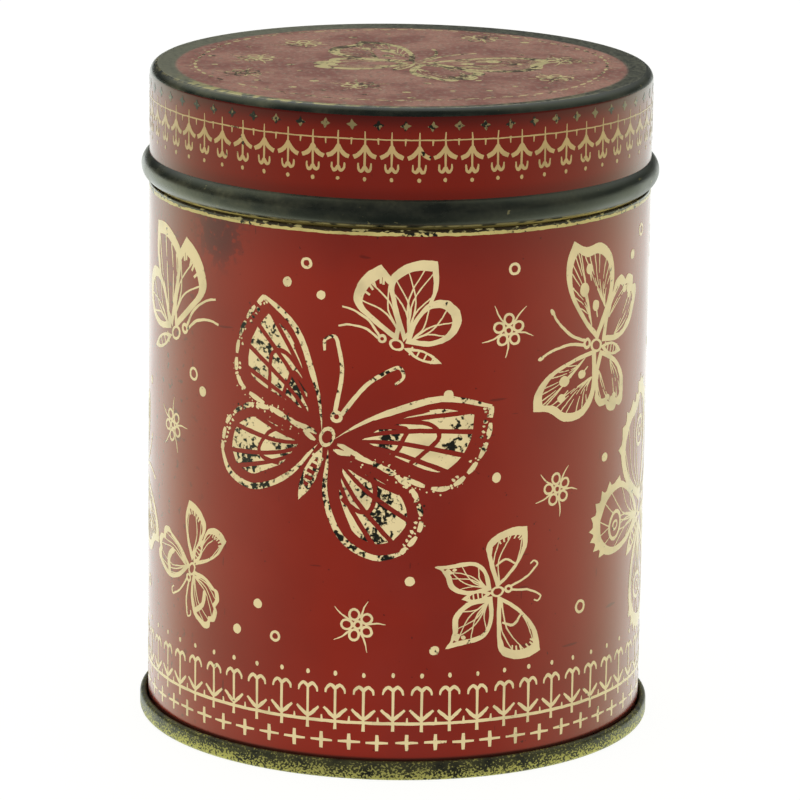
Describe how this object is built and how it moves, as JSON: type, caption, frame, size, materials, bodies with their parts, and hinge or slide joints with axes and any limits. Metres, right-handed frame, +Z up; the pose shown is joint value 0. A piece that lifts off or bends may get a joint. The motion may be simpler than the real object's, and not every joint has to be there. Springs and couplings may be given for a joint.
{
  "type": "lithographed slip-lid tin",
  "caption": "Round lithographed tinplate canister: printed side-seamed body, double-seamed foot rim, inner collar, and a flush slip lid with a dark half-round bead that lifts off.",
  "frame": {"origin": "centre of the foot rim, on the surface that the tin stands on", "axes": "+Z up along the tin's axis, through the lid; +Y to the back, where the side seam is; +X to the right as the tin faces the viewer"},
  "size_m": [0.1032, 0.1032, 0.1327],
  "materials": {
    "printed_red": "glossy lithographed red with cream print, worn",
    "printed_lid": "glossy lithographed red with dark shoulder and bead, rubbed on top",
    "worn_rim": "dark enamel rubbed through to gold-toned tinplate",
    "gold_lacquer": "satin gold lacquer on tinplate",
    "cream_print": "cream printing ink, chipped"
  },
  "bodies": {
    "can": {"body_shell": "printed_red", "bottom_end": "worn_rim", "neck_collar": "gold_lacquer"},
    "lid": {"lid": "printed_lid"}
  },
  "joints": [
    {"name": "lid_lift", "type": "slide", "parent": "can", "child": "lid", "axis": [0, 0, 1], "range_m": [0, 0.06]}
  ]
}
